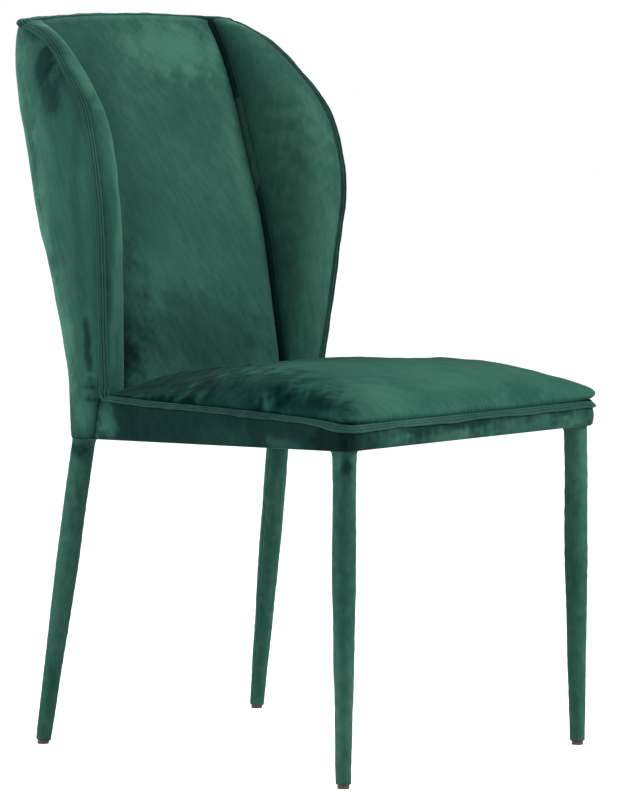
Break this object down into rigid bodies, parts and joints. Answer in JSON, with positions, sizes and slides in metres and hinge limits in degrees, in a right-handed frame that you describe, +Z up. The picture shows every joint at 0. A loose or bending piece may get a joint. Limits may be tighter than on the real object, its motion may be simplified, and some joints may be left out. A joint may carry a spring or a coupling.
{
  "type": "dining chair",
  "caption": "Upholstered dining chair with a padded winged back, a crowned seat, flanged seams and round tapered legs in fabric sleeves.",
  "frame": {"origin": "on the floor, under the middle of the chair's box", "axes": "+Z up, +X to the right when looking at the chair's front, -Y the way the sitter faces"},
  "size_m": [0.4832, 0.6058, 0.9103],
  "materials": {
    "velvet": "green velvet with a soft sheen",
    "steel": "black powder coat",
    "zinc": "zinc plated",
    "plywood": "raw birch plywood",
    "beech": "raw beech",
    "brown_plastic": "brown moulded plastic",
    "black_cloth": "thin black cloth"
  },
  "bodies": {
    "root": {"back_board_centre": "plywood", "back_cushion_centre": "velvet", "back_lower_rail": "steel", "back_top_rail": "steel", "back_upright_left": "steel", "back_upright_right": "steel", "dust_cover": "black_cloth", "leg_bolt_front_left": "zinc", "leg_bolt_front_right": "zinc", "leg_bolt_rear_left": "zinc", "leg_bolt_rear_right": "zinc", "leg_glide_front_left": "brown_plastic", "leg_glide_front_right": "brown_plastic", "leg_glide_rear_left": "brown_plastic", "leg_glide_rear_right": "brown_plastic", "leg_insert_front_left": "zinc", "leg_insert_front_right": "zinc", "leg_insert_rear_left": "zinc", "leg_insert_rear_right": "zinc", "leg_sleeve_front_left": "velvet", "leg_sleeve_front_right": "velvet", "leg_sleeve_rear_left": "velvet", "leg_sleeve_rear_right": "velvet", "leg_top_disc_front_left": "steel", "leg_top_disc_front_right": "steel", "leg_top_disc_rear_left": "steel", "leg_top_disc_rear_right": "steel", "leg_tube_front_left": "steel", "leg_tube_front_right": "steel", "leg_tube_rear_left": "steel", "leg_tube_rear_right": "steel", "outer_back_panel": "velvet", "seat_band_front": "velvet", "seat_band_left": "velvet", "seat_band_right": "velvet", "seat_board": "plywood", "seat_cushion": "velvet", "seat_flange_front": "velvet", "seat_flange_left": "velvet", "seat_flange_right": "velvet", "seat_rail_front": "beech", "seat_rail_left": "beech", "seat_rail_rear": "beech", "seat_rail_right": "beech", "side_panel_left": "velvet", "side_panel_right": "velvet", "top_flange": "velvet", "upright_socket_left": "steel", "upright_socket_right": "steel", "wing_board_left": "plywood", "wing_board_right": "plywood", "wing_cushion_left": "velvet", "wing_cushion_right": "velvet", "wing_flange_left": "velvet", "wing_flange_right": "velvet"}
  },
  "joints": []
}
